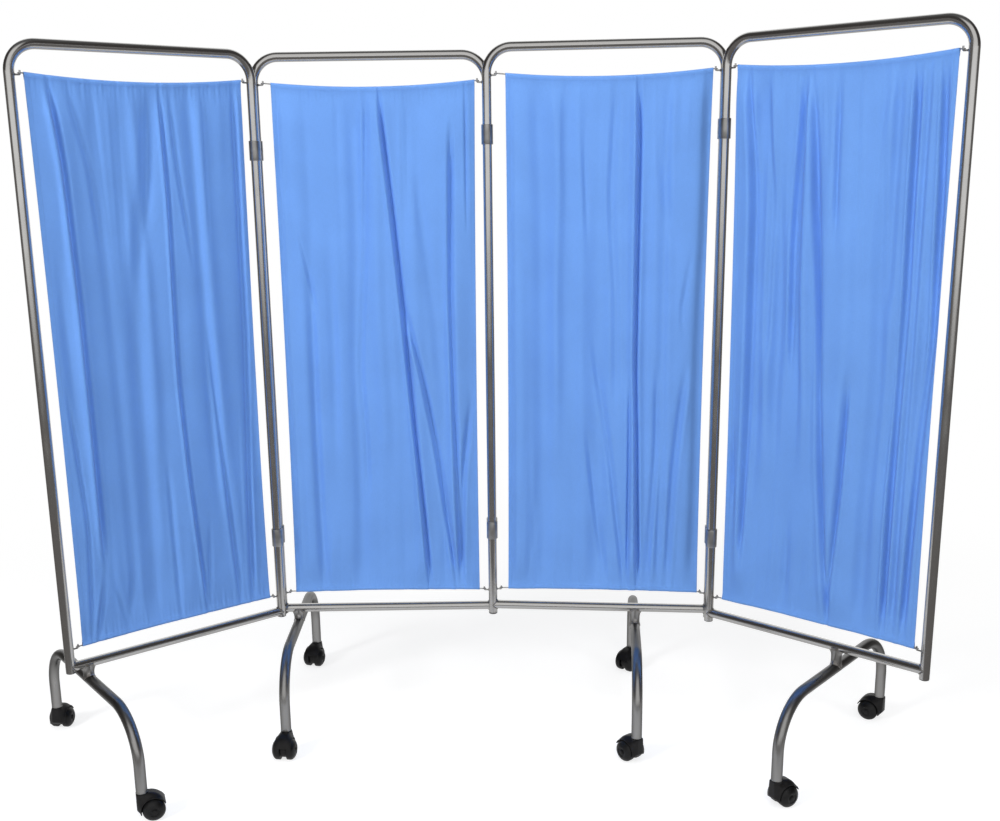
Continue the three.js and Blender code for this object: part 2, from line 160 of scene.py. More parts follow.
world = bpy.data.worlds.new("studio")
scene.world = world
world.use_nodes = True
add = node_adder(world.node_tree)
toward = add(
    "ShaderNodeSeparateXYZ", {0: add("ShaderNodeTexCoord", {}).outputs["Generated"]}
).outputs
flat_squared = math_node(
    add, "ADD",
    math_node(add, "MULTIPLY", toward["X"], toward["X"]),
    math_node(add, "MULTIPLY", toward["Y"], toward["Y"]),
)
flat_reach = math_node(add, "MAXIMUM", math_node(add, "SQRT", flat_squared), 0.001)
backward = math_node(add, "DIVIDE", toward["Y"], flat_reach)
from_front = math_node(add, "MULTIPLY_ADD", backward, 0.5, 0.5)
belts = [
    ramp(
        add, from_front,
        (0, color), (color_end, color), (dim_start, dim), (dim_until, dim), (white_from, white), (1, white),
    )
    for color, dim, color_end, dim_start in room_belts
]
# One belt gives way to the next between two heights of the direction
room = belts[0]
for above, start, end in ((belts[1], -0.10, -0.04), (belts[2], 0.10, 0.17), (room_above, 0.75, 0.95)):
    room = mixed_color(add, remapped(add, toward["Z"], start, end, kind="SMOOTHSTEP"), room, above)
direct, glossy, seen = ray_kinds(add)
shown = mixed_color(add, direct, room, white)
soft_light = mixed_color(add, seen, (room_light, room_light, room_light, 1), shown)
studio_light = add("ShaderNodeBackground", {"Color": soft_light})
add("ShaderNodeOutputWorld", {"Surface": studio_light.outputs[0]})

floor_half = 7
lift_level = 0.72
# Distances from the middle of the floor between which the paper turns into the white backdrop
backdrop_start, backdrop_end = 1.1, 2.6
# The part of the paper that the tubes show: its half width and how that grows backward, its front
# edge, how softly it ends, and how much of the dim room lies over it anyway
mirrored_half, mirrored_growth, mirrored_front, mirrored_fade, mirrored_dim = 1.25, 0.43, -0.52, 0.3, 0.45

floor_mesh = bpy.data.meshes.new("paper_floor")
floor_corners = [(x * floor_half, y * floor_half, 0) for x, y in ((-1, -1), (1, -1), (1, 1), (-1, 1))]
floor_mesh.from_pydata(floor_corners, [], [(0, 1, 2, 3)])
floor = bpy.data.objects.new("paper_floor", floor_mesh)
scene.collection.objects.link(floor)
paper, add = new_material("white_paper")
tone = ramp(add, noise(add, None, 3), (0, (0.43, 0.43, 0.43, 1)), (1, (0.46, 0.46, 0.46, 1)))
dull = add("ShaderNodeBsdfDiffuse", {"Color": tone})
# The paper shows white, and a shadow on it stays
direct, glossy, seen = ray_kinds(add)
lift = add(
    "ShaderNodeEmission", {"Color": white, "Strength": math_node(add, "MULTIPLY", seen, lift_level)}
)
lit = add("ShaderNodeAddShader", {0: dull.outputs[0], 1: lift.outputs[0]})
place = add("ShaderNodeNewGeometry", {}).outputs["Position"]
spot = add("ShaderNodeSeparateXYZ", {0: place}).outputs
span = add("ShaderNodeVectorMath", {0: place}, operation="LENGTH").outputs["Value"]
far = math_node(
    add, "MULTIPLY", remapped(add, span, backdrop_start, backdrop_end, kind="SMOOTHSTEP"), seen
)
backdrop = add("ShaderNodeEmission", {"Color": white})
sweep = add("ShaderNodeMixShader", {"Fac": far, 1: lit.outputs[0], 2: backdrop.outputs[0]})
aside = math_node(
    add, "SUBTRACT", math_node(add, "ABSOLUTE", spot["X"], None),
    math_node(add, "MULTIPLY_ADD", spot["Y"], mirrored_growth, mirrored_half),
)
before = math_node(add, "MULTIPLY_ADD", spot["Y"], -1, mirrored_front)
past = remapped(add, math_node(add, "MAXIMUM", aside, before), 0, mirrored_fade, mirrored_dim)
dim_floor = add("ShaderNodeEmission", {"Color": room_floor})
paper_look = add("ShaderNodeMixShader", {
    "Fac": math_node(add, "MULTIPLY", past, glossy), 1: sweep.outputs[0], 2: dim_floor.outputs[0],
})
add("ShaderNodeOutputMaterial", {"Surface": paper_look.outputs[0]})
floor_mesh.materials.append(paper)

for name, spot, aim, size, power in (
    ("key_lamp", (-3.1, -2.9, 2.6), (0, 0, 1.1), (0.9, 0.9), 103),
    ("fill_lamp", (3.4, -2.6, 2.4), (0.1, 0, 1.0), (1.0, 1.0), 30),
    ("front_lamp", (0.7, -3.4, 2.4), (0.1, 0, 1.0), (0.8, 0.8), 36),
    ("top_lamp", (0, -0.8, 4.2), (0, 0.1, 0), (2.6, 1.4), 30),
):
    lamp = bpy.data.lights.new(name, "AREA")
    lamp.shape = "RECTANGLE"
    lamp.size, lamp.size_y = size
    lamp.energy = power
    lamp_object = bpy.data.objects.new(name, lamp)
    lamp_object.location = spot
    lamp_object.rotation_euler = (Vector(aim) - Vector(spot)).to_track_quat("-Z", "Y").to_euler()
    # The bright metal mirrors the room and the paper, not the lamps
    lamp_object.visible_glossy = False
    scene.collection.objects.link(lamp_object)

# ---- Plan of the screen ----
# Four leaves stand post to post. The second leaf runs along X, and at each joint the front post is
# straight in front of the other one. A leaf's own frame has its left post at the origin and runs to +X.
leaf_pitch = 0.545
post_pair_pitch = 0.028
leaf_angles = [38.1, 0, -5.8, -41.6]
leaf_rises = [0.003, 0, 0.013, 0.015]
crossbar_height = 0.272
frame_height = 1.362
crossbars = [crossbar_height + rise for rise in leaf_rises]

joint_place = {joint["name"]: joint["pos_m"] for joint in frame["record"]["behaviour"]["joints"]}
headings = [math.radians(angle) for angle in leaf_angles]
along = [Vector((math.cos(a), math.sin(a))) for a in headings]
front = [Vector((math.sin(a), -math.cos(a))) for a in headings]
left_posts, right_posts = [None] * 4, [None] * 4
right_posts[0] = Vector(joint_place["fold_1_2"][:2])
left_posts[0] = right_posts[0] - along[0] * leaf_pitch
left_posts[1] = right_posts[0] - front[1] * post_pair_pitch
right_posts[1] = left_posts[1] + along[1] * leaf_pitch
left_posts[2] = right_posts[1] + front[1] * post_pair_pitch
right_posts[2] = left_posts[2] + along[2] * leaf_pitch
left_posts[3] = right_posts[2] + front[2] * post_pair_pitch
right_posts[3] = left_posts[3] + along[3] * leaf_pitch
leaf_places = [
    Matrix.Translation((post.x, post.y, 0)) @ Matrix.Rotation(heading, 4, "Z")
    for post, heading in zip(left_posts, headings)
]

# ---- Bright tube frames ----
# Each leaf's frame is one round steel tube bent to an upside-down U and polished bright. A straight
# crossbar of the same tube is welded in near the bottom, with a bead round each of its ends.
frame_radius = 0.011
frame_bend = 0.058
# How far each leaf's left post and right post run below the crossbar
post_tails = [(0.012, 0.012), (0.012, 0.020), (0.020, 0.020), (0.020, 0.020)]
tube_sides = 40
bend_steps = 14
weld_radius = 0.0016
weld_unevenness = 0.00018
weld_stand_off = 0.0006
weld_sides = 10
crossbar_bead_points = 40


def bump(add, height, strength, distance):
    inputs = {"Height": height, "Strength": strength, "Distance": distance}
    return add("ShaderNodeBump", inputs).outputs["Normal"]


def finished(add, look):
    """The surface of a material, from its shader's values."""
    shader = add("ShaderNodeBsdfPrincipled", look)
    add("ShaderNodeOutputMaterial", {"Surface": shader.outputs[0]})


def object_place(add):
    return add("ShaderNodeTexCoord", {}).outputs["Object"]


def stretched(add, vector, scale):
    return add("ShaderNodeMapping", {"Vector": vector, "Scale": scale}).outputs["Vector"]


def bright_steel(name, color, shaded_edge_color, rough_low, rough_high, line_depth):
    """Polished tube: painted shade darkens its colour towards its edges as seen, with faint drawn lines
    along it and a few fine scratches.
    """
    material, add = new_material(name)
    turned_away = add("ShaderNodeLayerWeight", {"Blend": 0.5}).outputs["Facing"]
    run = add("ShaderNodeUVMap", {}, uv_map="tube_run").outputs["UV"]
    streaks = noise(add, stretched(add, run, (60, 9, 1)), 1, 6)
    spot = object_place(add)
    patches = math_node(add, "MULTIPLY", noise(add, spot, 14, 4), 0.55)
    dullness = math_node(add, "MULTIPLY_ADD", streaks, 0.45, patches)
    scratches = add(
        "ShaderNodeTexVoronoi", {"Vector": spot, "Scale": 38}, feature="DISTANCE_TO_EDGE"
    ).outputs["Distance"]
    height = math_node(add, "MULTIPLY_ADD", remapped(add, scratches, 0, 0.012), 0.25, streaks)
    finished(add, {
        "Metallic": 1,
        # Painted shade: the colour runs from the tube's face to a darker colour at its edges as seen
        "Base Color": ramp(add, turned_away, (0.12, color), (0.62, shaded_edge_color)),
        "Roughness": remapped(add, dullness, 0.35, 0.65, rough_low, rough_high),
        "Normal": bump(add, height, 0.5, line_depth),
    })
    return material


def weld_metal():
    """Ground and brushed-over weld: pale, uneven, with a little heat colour."""
    material, add = new_material("weld_bead")
    spot = object_place(add)
    ripple = noise(add, spot, 420, 3)
    heat_color, pale_color = (0.27, 0.25, 0.23, 1), (0.42, 0.41, 0.4, 1)
    finished(add, {
        "Metallic": 1,
        "Base Color": ramp(add, noise(add, spot, 60), (0.35, heat_color), (0.6, pale_color)),
        "Roughness": remapped(add, ripple, low=0.4, high=0.62),
        "Normal": bump(add, ripple, 0.8, 0.0004),
    })
    return material


bright_tube = bright_steel(
    "bright_tube", (0.60, 0.595, 0.585, 1), (0.54, 0.535, 0.525, 1), 0.11, 0.22, 0.00002
)
weld_bead = weld_metal()


def open_tree(name, sizes):
    """A new tree over a mesh's lines, with named inputs for its sizes."""
    tree = bpy.data.node_groups.new(name, "GeometryNodeTree")
    tree.interface.new_socket("Geometry", in_out="INPUT", socket_type="NodeSocketGeometry")
    for size, kind in sizes:
        tree.interface.new_socket(size, in_out="INPUT", socket_type=f"NodeSocket{kind}")
    tree.interface.new_socket("Geometry", in_out="OUTPUT", socket_type="NodeSocketGeometry")
    add = node_adder(tree)
    given = add("NodeGroupInput", {}).outputs
    line = add("GeometryNodeMeshToCurve", {"Mesh": given["Geometry"]}).outputs["Curve"]
    return tree, add, given, line


def close_tree(add, geometry, material):
    """The end of a tree: real geometry in one material."""
    real = add("GeometryNodeRealizeInstances", {"Geometry": geometry}).outputs["Geometry"]
    finish = add("GeometryNodeSetMaterial", {"Geometry": real, "Material": material})
    add("NodeGroupOutput", {"Geometry": finish.outputs["Geometry"]})


def make_tube_tree():
    """Tubes along lines, with their run stored as a UV map: round, then along, in metres."""
    tree, add, given, line = open_tree(
        "tube_along_lines", (("Radius", "Float"), ("Sides", "Int"), ("Material", "Material"))
    )

    def measured(curve, name):
        """The curve with the length along it kept at each point."""
        keep = add("GeometryNodeCaptureAttribute", {"Geometry": curve})
        keep.capture_items.new("FLOAT", name)
        length = add("GeometryNodeSplineParameter", {}).outputs["Length"]
        tree.links.new(length, keep.inputs[name])
        return keep.outputs["Geometry"], keep.outputs[name]

    line, run = measured(line, "run")
    ring = add(
        "GeometryNodeCurvePrimitiveCircle", {"Resolution": given["Sides"], "Radius": given["Radius"]}
    ).outputs["Curve"]
    ring, turn = measured(ring, "turn")
    wall = add("GeometryNodeCurveToMesh", {"Curve": line, "Profile Curve": ring, "Fill Caps": True})
    pair = add("ShaderNodeCombineXYZ", {"X": turn, "Y": run}).outputs["Vector"]
    stored = add(
        "GeometryNodeStoreNamedAttribute",
        {"Geometry": wall.outputs["Mesh"], "Name": "tube_run", "Value": pair},
        data_type="FLOAT2", domain="CORNER",
    )
    close_tree(add, stored.outputs["Geometry"], given["Material"])
    return tree


def through_tree(tree, lines, values):
    """The plain mesh that a tree makes from lines, each a list of points."""
    points, edges = [], []
    for line in lines:
        edges += [(len(points) + i, len(points) + i + 1) for i in range(len(line) - 1)]
        points += [tuple(point) for point in line]
    source = bpy.data.meshes.new("lines")
    source.from_pydata(points, edges, [])
    holder = bpy.data.objects.new("lines", source)
    scene.collection.objects.link(holder)
    modifier = holder.modifiers.new("make", "NODES")
    modifier.node_group = tree
    sockets = {item.name: item.identifier for item in tree.interface.items_tree if item.in_out == "INPUT"}
    for name, value in values.items():
        modifier[sockets[name]] = value
    ready = holder.evaluated_get(bpy.context.evaluated_depsgraph_get())
    mesh = bpy.data.meshes.new_from_object(ready)
    holder.modifiers.remove(modifier)
    bpy.data.objects.remove(holder)
    return mesh


tube_tree = make_tube_tree()


def tubes(lines, radius, sides, material):
    return through_tree(tube_tree, lines, {"Radius": radius, "Sides": sides, "Material": material})


def arch_line(span, feet, crown, bend, steps):
    """Points of an upside-down U in the XZ plane, from its left foot to its right one."""
    points = [Vector((0, 0, feet[0]))]
    for side in (0, 1):
        for k in range(steps + 1):
            turned = (k if side == 0 else steps - k) / steps * math.pi / 2
            reach = bend - bend * math.cos(turned)
            x = reach if side == 0 else span - reach
            points.append(Vector((x, 0, crown - bend + bend * math.sin(turned))))
    points.append(Vector((span, 0, feet[1])))
    return points


def made_piece(name, meshes, place, body, replaced=(), sharp=35):
    """One object from several meshes, with its place in its mesh and smooth but for its sharp edges."""
    joined = bmesh.new()
    materials = []
    for mesh in meshes:
        indices = []
        for material in mesh.materials:
            if material not in materials:
                materials.append(material)
            indices.append(materials.index(material))
        start = len(joined.faces)
        joined.from_mesh(mesh)
        joined.faces.ensure_lookup_table()
        for face in joined.faces[start:]:
            face.material_index = indices[min(face.material_index, len(indices) - 1)]
    for face in joined.faces:
        face.smooth = True
    for edge in joined.edges:
        edge.smooth = len(edge.link_faces) != 2 or edge.calc_face_angle() < math.radians(sharp)
    joined.transform(place)
    mesh = bpy.data.meshes.new(name)
    joined.to_mesh(mesh)
    joined.free()
    for material in materials:
        mesh.materials.append(material)
    piece = bpy.data.objects.new(name, mesh)
    scene.collection.objects.link(piece)
    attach(piece, body)
    if replaced:
        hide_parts(*replaced)
    return piece


def leaf_piece(k, name, meshes, replaced=(), sharp=35, place=None):
    """A piece that rides on one leaf, in that leaf's frame unless it has a place of its own."""
    return made_piece(
        f"leaf_{k + 1}_{name}", meshes, leaf_places[k] if place is None else place, f"panel_{k + 1}",
        [f"panel_{k + 1}_{node}" for node in replaced], sharp,
    )


def all_round(steps):
    return np.linspace(0, 2 * math.pi, steps, endpoint=False)


weld_random = np.random.default_rng(11)


def weld_ring(points):
    """A bead along a closed line, a little uneven."""
    loop = [Vector(point) + Vector(weld_random.normal(0, weld_unevenness, 3)) for point in points]
    return loop + [loop[0]]


def skin_height(offset, tube_radius):
    """How far a tube's skin is above its middle plane, at an offset across the tube."""
    return math.sqrt(max(tube_radius**2 - offset**2, 0))


for k, crossbar in enumerate(crossbars):
    crown = crossbar + frame_height
    feet = [crossbar - tail for tail in post_tails[k]]
    outline = arch_line(leaf_pitch, feet, crown, frame_bend, bend_steps)
    bar = [Vector((0, 0, crossbar)), Vector((leaf_pitch, 0, crossbar))]
    frame_tubes = [tubes([line], frame_radius, tube_sides, bright_tube) for line in (outline, bar)]
    leaf_piece(k, "tube_frame", frame_tubes, ["frame"])
    beads = []
    for post, inward in ((0, 1), (leaf_pitch, -1)):
        ring = []
        for t in all_round(crossbar_bead_points):
            y, z = frame_radius * math.sin(t), frame_radius * math.cos(t)
            out = skin_height(y, frame_radius) + weld_stand_off
            ring.append((post + inward * out, y, crossbar + z))
        beads.append(weld_ring(ring))
    welds = [tubes(beads, weld_radius, weld_sides, weld_bead)]
    leaf_piece(k, "crossbar_welds", welds, sharp=60)

# ---- Plugs in the posts ----
# A moulded grey plug closes the lower end of each post. It has a rim as wide as the tube and a
# slightly domed foot.
plug_drop = 0.0022
plug_profile = [
    (0, -plug_drop - 0.0004), (0.006, -plug_drop - 0.0003), (0.0098, -plug_drop),
    (0.0107, -plug_drop + 0.0006), (0.0109, -plug_drop + 0.0014), (0.0109, -0.0001),
    (0.0103, 0), (0, 0),
]


def moulded_plastic(name, color, rough_low, rough_high, grain_scale, grain_depth):
    """Moulded plastic: a fine grain, and uneven gloss where hands and dust have been."""
    material, add = new_material(name)
    spot = object_place(add)
    grain = noise(add, spot, grain_scale, 4)
    wear = noise(add, spot, 55, 5)
    dusty_color = tuple(min(c * 1.9 + 0.002, 1) for c in color[:3]) + (1,)
    finished(add, {
        "Specular IOR Level": 0.32,
        "Base Color": ramp(add, wear, (0.35, color), (0.75, dusty_color)),
        "Roughness": remapped(add, wear, 0.3, 0.7, rough_low, rough_high),
        "Normal": bump(add, grain, 0.6, grain_depth),
    })
    return material


grey_plug = moulded_plastic("grey_plug", (0.07, 0.07, 0.07, 1), 0.4, 0.6, 1600, 0.00004)


def closed_mesh(body, *materials):
    """A finished body as a mesh, with its faces turned outward."""
    bmesh.ops.recalc_face_normals(body, faces=body.faces)
    mesh = bpy.data.meshes.new("part")
    body.to_mesh(mesh)
    body.free()
    for material in materials:
        mesh.materials.append(material)
    return mesh


def lathe(profile, material, segments=48):
    """A closed body of revolution about Z, from its corners' radius and height."""
    body = bmesh.new()
    rings = []
    for radius, height in profile:
        if radius < 1e-6:
            rings.append([body.verts.new((0, 0, height))])
        else:
            rings.append([
                body.verts.new((radius * math.cos(a), radius * math.sin(a), height))
                for a in all_round(segments)
            ])
    pairs = list(zip(rings, rings[1:]))
    if len(rings[0]) > 1 and len(rings[-1]) > 1:
        pairs.append((rings[-1], rings[0]))
    for lower, upper in pairs:
        for i in range(segments):
            j = (i + 1) % segments
            corners = [lower[i % len(lower)], lower[j % len(lower)]]
            corners += [upper[j % len(upper)], upper[i % len(upper)]]
            corners = list(dict.fromkeys(corners))
            if len(corners) > 2:
                body.faces.new(corners)
    return closed_mesh(body, material)


def moved(mesh, matrix):
    mesh.transform(matrix)
    return mesh


for k, crossbar in enumerate(crossbars):
    plugs = [
        moved(lathe(plug_profile, grey_plug), Matrix.Translation((post, 0, crossbar - tail)))
        for post, tail in zip((0, leaf_pitch), post_tails[k])
    ]
    leaf_piece(k, "post_plugs", plugs, sharp=50)

# ---- Curtain hooks ----
# Four small hooks of round wire are welded to the inner sides of each frame's posts, two high and two
# low. Their tips turn up, and the eyes of the curtain wires drop over them.
hook_radius = 0.002
hook_reach = 0.011
hook_tip = 0.009
hook_elbow = 0.0026
hook_steps = 6
hook_sunk = 0.0008
hook_bead_radius = 0.0009
hook_bead_points = 12
wire_sides = 14
top_hook_drop = 0.062
bottom_hook_rise = 0.042

for k, crossbar in enumerate(crossbars):
    lines, beads = [], []
    for post, inward in ((0, 1), (leaf_pitch, -1)):
        for height in (crossbar + frame_height - top_hook_drop, crossbar + bottom_hook_rise):
            tip = post + inward * (frame_radius + hook_reach)
            line = [Vector((post + inward * (frame_radius - hook_sunk), 0, height))]
            for step in range(hook_steps + 1):
                a = step / hook_steps * math.pi / 2
                x = tip - inward * hook_elbow * (1 - math.sin(a))
                line.append(Vector((x, 0, height + hook_elbow * (1 - math.cos(a)))))
            line.append(Vector((tip, 0, height + hook_tip)))
            lines.append(line)
            x, r = post + inward * (frame_radius + 0.0002), hook_radius + 0.0003
            beads.append(weld_ring([
                (x, r * math.cos(t), height + r * math.sin(t)) for t in all_round(hook_bead_points)
            ]))
    hooks = tubes(lines, hook_radius, wire_sides, bright_tube)
    leaf_piece(k, "curtain_hooks", [hooks, tubes(beads, hook_bead_radius, 8, weld_bead)])

# ---- Arched legs ----
# One bright tube bent to an arch crosses under each leaf, and carries a caster at each end. A short
# upright stub is coped and welded between the arch and the crossbar.
leg_radius = 0.0125
leg_span = 0.543
leg_height = crossbar_height - 0.036
caster_height = 0.066
leg_tail = 0.060
leg_foot = caster_height + 0.0003
leg_bend = leg_height - caster_height - leg_tail
leg_bend_steps = 26
# Where each leg crosses its leaf, as a share of the leaf's pitch
leg_place_shares = [0.074, 0.073, 0.665, 0.624]
stub_radius = 0.012
stub_steps, stub_sides = 18, 56
# Each weld's fillet on the stub: its spread, how fast it fades, and how many steps of the stub it takes
fillet, fillet_fade, fillet_steps = 0.0040, 0.0030, 5
# How deep the stub's ends sit in the two tubes, and where its weld beads lie
sunk_in_leg, sunk_in_crossbar = 0.0008, 0.0006
bead_points, bead_out, bead_above_leg, bead_below_crossbar = 44, 0.0008, 0.0002, 0.0004

leg_tube = bright_steel(
    "leg_tube", (0.42, 0.417, 0.412, 1), (0.13, 0.128, 0.125, 1), 0.26, 0.38, 0.00003
)


def stub_mesh(crossbar):
    """The stub's outside, with a thick weld fillet at both ends, which follow the two tubes."""
    body = bmesh.new()
    rings = []
    lumps = weld_random.uniform(0.75, 1.25, (2, stub_sides))
    length = crossbar - frame_radius - leg_height - leg_radius
    for i in range(stub_steps + 1):
        share = 0.5 - 0.5 * math.cos(math.pi * i / stub_steps)
        ring = []
        for j, a in enumerate(all_round(stub_sides)):
            x, y = math.cos(a), math.sin(a)
            low_flare, high_flare = [
                (0.001 + fillet * side * side) * lump[j] * math.exp(-away * length / fillet_fade)
                for side, lump, away in ((y, lumps[0], share), (x, lumps[1], 1 - share))
            ]
            radius = stub_radius + low_flare + high_flare
            low = leg_height + skin_height(radius * x, leg_radius) - sunk_in_leg
            high = crossbar - skin_height(radius * y, frame_radius) + sunk_in_crossbar
            ring.append(body.verts.new((radius * x, radius * y, low + (high - low) * share)))
        rings.append(ring)
    for i, (lower, upper) in enumerate(zip(rings, rings[1:])):
        for j in range(stub_sides):
            following = (j + 1) % stub_sides
            side = body.faces.new([lower[j], lower[following], upper[following], upper[j]])
            side.material_index = 1 if i < fillet_steps or i >= stub_steps - fillet_steps else 0
    body.faces.new(rings[0])
    body.faces.new(rings[-1])
    return closed_mesh(body, leg_tube, weld_bead)


leg_places = []
for k, crossbar in enumerate(crossbars):
    # The arch runs along the leaf's Y, and its middle is under the stub
    leg_places.append(leaf_places[k] @ Matrix.Translation((leg_place_shares[k] * leaf_pitch, 0, 0)))
    arch = arch_line(leg_span, (leg_foot, leg_foot), leg_height, leg_bend, leg_bend_steps)
    arch = [Vector((0, point.x - leg_span / 2, point.z)) for point in arch]
    low_ring, high_ring = [], []
    for t in all_round(bead_points):
        x, y = (stub_radius + bead_out) * math.cos(t), (stub_radius + bead_out) * math.sin(t)
        low_ring.append((x, y, leg_height + skin_height(x, leg_radius) + bead_above_leg))
        high_ring.append((x, y, crossbar - skin_height(y, frame_radius) - bead_below_crossbar))
    leg = [tubes([arch], leg_radius, tube_sides, leg_tube), stub_mesh(crossbar)]
    leaf_piece(k, "arched_leg", leg, ["leg"], place=leg_places[k])
    welds = [tubes([weld_ring(low_ring), weld_ring(high_ring)], weld_radius, weld_sides, weld_bead)]
    leaf_piece(k, "leg_welds", welds, sharp=60, place=leg_places[k])

# ---- Hinge clips ----
# Two pressed steel clips join the posts at each joint. Each is a figure of eight seen from above,
# with one collar fixed on its own post and the other free round its neighbour's post.
clip_height = 0.045
clip_bore = frame_radius + 0.0003
clip_outer = 0.0137
clip_waist = 0.016
clip_round_edge = 0.0007
collar_steps = 40
# How high the clips sit, as shares of the frame's height
upper_clip_shares = [0.845, 0.867, 0.86]
lower_clip_shares = [0.148, 0.157, 0.145]

clip_steel, add = new_material("clip_steel")
spot = object_place(add)
brushed = noise(add, stretched(add, spot, (220, 220, 2600)), 1, 3)
finished(add, {
    "Metallic": 1,
    "Base Color": ramp(
        add, noise(add, spot, 45), (0.3, (0.36, 0.358, 0.35, 1)), (0.7, (0.52, 0.518, 0.51, 1))
    ),
    "Roughness": remapped(add, brushed, low=0.26, high=0.48),
    "Normal": bump(add, brushed, 0.4, 0.00004),
})


def clip_mesh():
    """The clip round the post at the origin and the one on -Y, with rounded edges."""
    curve = bpy.data.curves.new("clip", "CURVE")
    curve.dimensions = "2D"
    curve.fill_mode = "BOTH"
    curve.extrude = clip_height / 2 - clip_round_edge
    curve.bevel_depth = clip_round_edge
    curve.bevel_resolution = 2
    curve.offset = -clip_round_edge

    def arc(radius, angles, y=0):
        return [(radius * math.cos(a), radius * math.sin(a) + y) for a in angles]

    waist = math.acos(clip_waist / 2 / clip_outer)
    outer = arc(clip_outer, np.linspace(-waist, math.pi + waist, collar_steps))
    outer += arc(
        clip_outer, np.linspace(math.pi - waist, 2 * math.pi + waist, collar_steps), -post_pair_pitch
    )
    bores = [arc(clip_bore, all_round(collar_steps), y) for y in (0, -post_pair_pitch)]
    for loop in (outer, *bores):
        spline = curve.splines.new("POLY")
        spline.points.add(len(loop) - 1)
        for point, (x, y) in zip(spline.points, loop):
            point.co = (x, y, 0, 1)
        spline.use_cyclic_u = True
    holder = bpy.data.objects.new("clip", curve)
    scene.collection.objects.link(holder)
    mesh = bpy.data.meshes.new_from_object(holder.evaluated_get(bpy.context.evaluated_depsgraph_get()))
    bpy.data.objects.remove(holder)
    joined = bmesh.new()
    joined.from_mesh(mesh)
    bmesh.ops.remove_doubles(joined, verts=joined.verts, dist=0.00001)
    return closed_mesh(joined, clip_steel)


for k, (carrier, turning, body) in enumerate((
    (left_posts[1], right_posts[0], "panel_2"),
    (left_posts[2], right_posts[1], "panel_3"),
    (right_posts[2], left_posts[3], "panel_3"),
)):
    to_other = turning - carrier
    turned_by = math.atan2(to_other.y, to_other.x) + math.pi / 2
    lowest = min(crossbars[k], crossbars[k + 1])
    for level, shares in (("upper", upper_clip_shares), ("lower", lower_clip_shares)):
        place = Matrix.Translation((carrier.x, carrier.y, lowest + shares[k] * frame_height))
        made_piece(
            f"joint_{k + 1}_{level}_hinge_clip", [clip_mesh()],
            place @ Matrix.Rotation(turned_by, 4, "Z"), body,
            [f"joint_{k + 1}_{level}_clip"], sharp=40,
        )

# ---- Curtain wires ----
# A plain drawn wire carries each curtain at the top and another holds it at the bottom. Each has a
# flat eye at both ends, which lies over a hook's tip.
wire_radius = 0.0015
top_wire_sag, bottom_wire_sag = 0.013, -0.003
eye_outer, eye_hole, eye_thickness = 0.010, 0.0054, 0.0024
eye_middle, eye_half = (eye_outer + eye_hole) / 4, (eye_outer - eye_hole) / 4
eye_from_post = frame_radius + hook_reach
eye_lift = (2 * hook_radius + eye_thickness) / 2 + 0.0003
rod_half = leaf_pitch / 2 - eye_from_post - eye_middle
rod_points = 33

wire_steel = bright_steel("wire_steel", (0.66, 0.66, 0.66, 1), (0.5, 0.5, 0.5, 1), 0.22, 0.38, 0.00003)


def wire_drop(x, sag):
    return sag * (1 - (x / rod_half) ** 2)


eye_ring = [
    (eye_middle + eye_half * math.cos(a), eye_thickness / 2 * math.sin(a)) for a in all_round(12)
]
for k, crossbar in enumerate(crossbars):
    for level, height, sag in (
        ("top", crossbar + frame_height - top_hook_drop + eye_lift, top_wire_sag),
        ("bottom", crossbar + bottom_hook_rise + eye_lift, bottom_wire_sag),
    ):
        rod = [
            Vector((leaf_pitch / 2 + x, 0, height - wire_drop(x, sag)))
            for x in np.linspace(-rod_half, rod_half, rod_points)
        ]
        parts = [tubes([rod], wire_radius, wire_sides, wire_steel)]
        for x in (eye_from_post, leaf_pitch - eye_from_post):
            parts.append(moved(lathe(eye_ring, wire_steel, 32), Matrix.Translation((x, 0, height))))
        leaf_piece(k, f"{level}_curtain_wire", parts, [f"{level}_wire"])

# ---- Curtains ----
# Each curtain is one plain woven blue sheet. A casing sewn along its top and bottom edges is gathered
# on the wires, and narrow hems run down its sides. Its main folds slant from wire to wire.
cloth_color = (0.162, 0.350, 0.80)
cloth_columns = 300
cloth_rows = 104
cloth_thickness = 0.0007
casing_radius = 0.0026
casing_depth = 0.0125
side_hem = 0.009
# How far the cloth's sides draw in at half its height, at most
waist_draw = 0.010
# By the wires the folds and the cloth's stand-off (in millimetres) are small, and they are full past
# these shares of its height. The gathers are full past the first of theirs and gone by the second.
fold_least, fold_full_by = 0.22, 0.075
stand_least, stand_more, stand_full_by = 1.2, 15.8, 0.085
gather_least, gather_strength, gather_full_by, gather_gone_by = 0.25, 0.9, 0.012, 0.045
# The sheet's left and right edges from the left post: at the top, then at the bottom
cloth_edges = [
    ((0.029, 0.517), (0.032, 0.514)),
    ((0.040, 0.517), (0.036, 0.511)),
    ((0.044, 0.518), (0.040, 0.516)),
    ((0.029, 0.517), (0.037, 0.518)),
]
